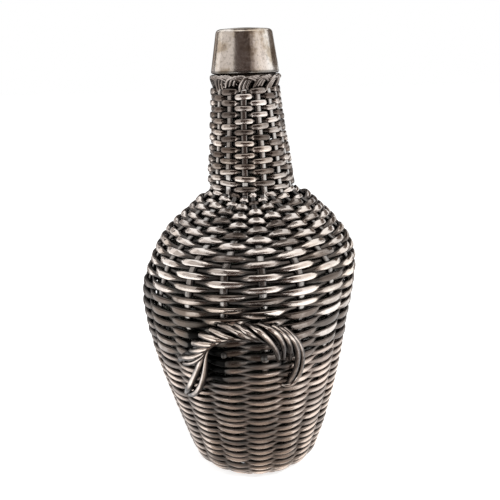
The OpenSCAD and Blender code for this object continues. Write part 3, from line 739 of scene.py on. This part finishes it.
# ---------------------------------------------------------------- bottle, collar and cap
GLASS_R, BORE_R, LIP_Z = 7.1, 5, 172.6  # the bottle's neck
zs = np.linspace(13, 109.5, 40)
side = np.column_stack([np.maximum(GLASS_R, np.interp(zs, LINE[:, 1], LINE[:, 0]) - 1.2), zs])
bottle = np.vstack([
    [(ON_AXIS, 6.5), (16, 6.5)], arc((side[0, 0] - 3.2, 9.8), 3.2, -80, -5, 8), side,
    [(GLASS_R, 116), (GLASS_R, LIP_Z)], arc((6.05, LIP_Z), 1.05, 0, 180, 9), [(BORE_R, LIP_Z), (BORE_R, 115)],
    [(max(BORE_R, r - 2.2), z) for r, z in side[::-1]], [(16.5, 8.9), (ON_AXIS, 8.7)]])
place(lathe(bottle, 96, follow=True), "bottle", glass, "flask", ["glass_bottle"], 40)

collar = np.vstack([
    [(7.2, 156.4), (7.95, 156.4), (7.95, 162.4)], arc((11.8, 162.7), 0.3, -90, 0, 5),
    arc((11.8, 163.0), 0.3, 0, 90, 5), [(8.1, 163.3), (7.95, 163.5)], arc((7.6, 173.6), 0.35, 0, 90, 6),
    arc((5.45, 173.6), 0.35, 90, 180, 6), [(5.1, 173.15), (7.2, 173.15)]])
place(lathe(collar, 128), "collar", shaded_collar_metal, "flask", ["neck_collar"], 40)


THREAD_Z, THREAD_PITCH, THREAD_WIRE = 165.6, 6, 0.5


def thread(radius, start):
    """A screw thread with two starts, each one turn of wire that thins out at its ends."""
    sh = Shape()
    for j in range(2):
        a = np.linspace(0, TAU, 140)
        fade = np.minimum(smooth(0, 0.5, a), smooth(0, 0.5, TAU - a))
        path = polar(radius, a + start + j * math.pi, THREAD_Z + THREAD_PITCH * a / TAU)
        tube(sh, path, THREAD_WIRE * (0.45 + 0.55 * fade), 12, 1.0, j)
    return sh


place(thread(8.6, 0.0), "collar_thread", shaded_collar_metal, "flask", ["neck_thread"])
place(thread(8.75, math.pi / 2), "cap_screw", shaded_collar_metal, "cap", ["cap_thread"])
cap = np.vstack([
    [(12.0, CAP_BOTTOM)], arc((12.4, 164.1), 0.7, -90, 8.9, 8), arc((9.23, 177.9), 1.6, 8.9, 80, 14),
    [(6.5, 179.72), (4.0, 179.9), (2.0, 179.98), (ON_AXIS, CAP_TOP), (ON_AXIS, 178.4), (8.7, 178.4),
     (9.86, 177.1), (9.97, 176.4)]])
place(lathe(cap, 192), "cap_body", cap_metal, "cap", ["cap_shell"], 45)
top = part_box("cap_sleeve")[1].z / MM
lining = [(9.33, 163.9), (11.7, 163.9), (11.8, 164.1), (11.7, 164.5), (9.74, 164.7), (9.7, top), (9.33, top)]
place(lathe(lining, 128), "cap_lining", shaded_collar_metal, "cap", ["cap_sleeve"], 40)
lo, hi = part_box("cork_wad")
w, z0, z1 = hi.x / MM, lo.z / MM, hi.z / MM
wad = np.vstack([[(ON_AXIS, z0)], arc((w - 0.4, z0 + 0.4), 0.4, -90, 0, 5),
                 arc((w - 0.4, z1 - 0.4), 0.4, 0, 90, 5), [(ON_AXIS, z1)]])
place(lathe(wad, 96), "cork_disc", cork, "cap_seal", ["cork_wad"], 40)

# ---------------------------------------------------------------- camera, floor, light
FOCAL, PIXELS, SENSOR = 624.0, 500, 36  # focal length and picture in pixels, sensor in millimetres
DIST, HEIGHT = 250.0, 167.0  # of the eye, in millimetres
AZ, PITCH, ROLL = 5.0, 16.635, -1.592  # in degrees
a, pitch, roll = (math.radians(v) for v in (-90 + AZ, PITCH, ROLL))
eye = Vector((DIST * math.cos(a), DIST * math.sin(a), HEIGHT)) * MM
ahead = Vector((-math.cos(a) * math.cos(pitch), -math.sin(a) * math.cos(pitch), -math.sin(pitch)))
right = ahead.cross(Vector((0, 0, 1))).normalized()
up = right.cross(ahead)
c, s = math.cos(roll), math.sin(roll)
right, up = right * c + up * s, up * c - right * s
cam = bpy.data.cameras.new("camera")
cam.sensor_width = SENSOR
cam.lens = FOCAL * SENSOR / PIXELS
cam.clip_start = 0.01
cam_obj = add("camera", cam)
cam_obj.matrix_world = Matrix([(right[i], up[i], -ahead[i], eye[i]) for i in range(3)] + [(0, 0, 0, 1)])
bpy.context.scene.camera = cam_obj


def empty_tree(owner):
    owner.use_nodes = True
    owner.node_tree.nodes.clear()
    return owner.node_tree


def two_ways(tree, lights, shows, output):
    """Ends a tree with one shader for the light it gives, and one for what the eye, reflections and glass see."""
    path = node(tree, "ShaderNodeLightPath").outputs
    seen = math_node(tree, "MAXIMUM", path["Is Glossy Ray"], path["Is Transmission Ray"])
    seen = math_node(tree, "MAXIMUM", path["Is Camera Ray"], seen)
    pick = node(tree, "ShaderNodeMixShader", {"Fac": seen})
    tree.links.new(lights.outputs[0], pick.inputs[1])
    tree.links.new(shows.outputs[0], pick.inputs[2])
    tree.links.new(pick.outputs[0], node(tree, output).inputs["Surface"])


CARD_GRID = 24, 12  # points round and up
CARD_MID = 0.1  # height of the middle of the curve
CARD_LIFT = 0.0005  # of a card that lies on the table


def card(name, az, span, colour, strength=1.0, dist=0.95, lies=False):
    """A studio card that only reflections see, round the object from az to az, in degrees from the camera's side.

    A card that stands is curved, and span is in degrees up. One that lies on the table has a span in metres out."""
    n, m = CARD_GRID
    turns, steps = np.radians(-90 + AZ + np.linspace(*az, n)), np.linspace(*span, m)
    if lies:
        pts = [(d * math.cos(b), d * math.sin(b), CARD_LIFT) for b in turns for d in steps]
    else:
        pts = [(dist * math.cos(e) * math.cos(b), dist * math.cos(e) * math.sin(b), CARD_MID + dist * math.sin(e))
               for b in turns for e in np.radians(steps)]
    faces = [(i * m + j, i * m + j + 1, (i + 1) * m + j + 1, (i + 1) * m + j)
             for i in range(n - 1) for j in range(m - 1)]
    mesh = bpy.data.meshes.new(name)
    mesh.from_pydata(pts, [], faces)
    look = bpy.data.materials.new(name)
    t = empty_tree(look)
    glow = node(t, "ShaderNodeEmission", {"Color": colour + (1,), "Strength": strength})
    t.links.new(glow.outputs[0], node(t, "ShaderNodeOutputMaterial").inputs["Surface"])
    mesh.materials.append(look)
    obj = add(name, mesh)
    obj.visible_camera = False
    obj.visible_diffuse = False
    obj.visible_shadow = False
    obj.visible_transmission = False


card("card_front", (-38, 22), (-2, 66), (0.062, 0.044, 0.038))
card("card_high", (-36, 66), (37, 59), (0.95, 0.92, 0.89), 1.25, 0.91)
card("card_left_low", (-97, -38), (-2, 11), (0.42, 0.385, 0.365))
card("card_left", (-97, -38), (11, 28), (0.585, 0.545, 0.515))
card("card_left_up", (-97, -38), (28, 40), (0.45, 0.415, 0.39))
card("card_left_far", (-121, -97), (-2, 40), (0.86, 0.82, 0.79))
card("card_right_edge", (110, 158), (6, 34), (0.13, 0.105, 0.09))
card("card_cap_side", (46, 82), (10, 30), (0.80, 0.74, 0.70))
card("card_left_edge", (-133, -123), (6, 34), (0.08, 0.07, 0.07))
card("card_between", (22, 34), (-4, 60), (0.25, 0.205, 0.18))
card("card_beside", (34, 46), (-4, 60), (0.56, 0.505, 0.47))
card("card_back", (160, 208), (-2, 38), (0.12, 0.10, 0.09))
card("card_back_beside", (208, 226), (-2, 24), (0.42, 0.385, 0.365))
card("card_over", (-180, 180), (64, 90), (0.22, 0.20, 0.19), dist=0.93)
card("card_table_back", (130, 236), (0.1, 0.95), (0.30, 0.265, 0.245), lies=True)
card("card_table", (-24, 17), (0.13, 0.95), (0.125, 0.09, 0.078), lies=True)
card("card_near", (-50, 45), (0.03, 0.13), (0.47, 0.42, 0.385), lies=True)

FLOOR = 4  # half its side
floor_mesh = bpy.data.meshes.new("floor")
corners = [(-FLOOR, -FLOOR, 0), (FLOOR, -FLOOR, 0), (FLOOR, FLOOR, 0), (-FLOOR, FLOOR, 0)]
floor_mesh.from_pydata(corners, [], [(0, 1, 2, 3)])
floor_mat = bpy.data.materials.new("floor_white")
t = empty_tree(floor_mat)
lit = node(t, "ShaderNodeBsdfDiffuse", {"Color": (0.8, 0.8, 0.8, 1)})
pale = node(t, "ShaderNodeBsdfDiffuse", {"Color": (0.72, 0.72, 0.72, 1)})
glow = node(t, "ShaderNodeEmission", {"Color": (1, 1, 1, 1), "Strength": 0.69})
both = node(t, "ShaderNodeAddShader")
t.links.new(pale.outputs[0], both.inputs[0])
t.links.new(glow.outputs[0], both.inputs[1])
two_ways(t, lit, both, "ShaderNodeOutputMaterial")
floor_mesh.materials.append(floor_mat)
floor = add("floor", floor_mesh)

world = bpy.data.worlds.new("studio")
t = empty_tree(world)
soft = node(t, "ShaderNodeBackground", {"Color": (1.0, 0.99, 0.98, 1), "Strength": 0.45})
white = node(t, "ShaderNodeBackground", {"Color": (1, 1, 1, 1), "Strength": 1.0})
two_ways(t, soft, white, "ShaderNodeOutputWorld")
bpy.context.scene.world = world

AIM = Vector((0, 0, 0.09))
LAMP_SIZE = 0.5


def lamp(name, at, power, colour):
    """A soft light that reflections don't see."""
    light = bpy.data.lights.new(name, "AREA")
    light.shape = "RECTANGLE"
    light.size = light.size_y = LAMP_SIZE
    light.energy = power
    light.color = colour
    obj = add(name, light)
    obj.location = at
    obj.rotation_euler = (AIM - Vector(at)).to_track_quat("-Z", "Y").to_euler()
    obj.visible_glossy = False


lamp("key", (0.55, -0.25, 0.75), 6.0, (1.0, 0.99, 0.97))
lamp("fill", (-0.75, -0.2, 0.45), 2.5, (0.97, 0.98, 1.0))
bpy.context.scene.view_settings.view_transform = "Standard"
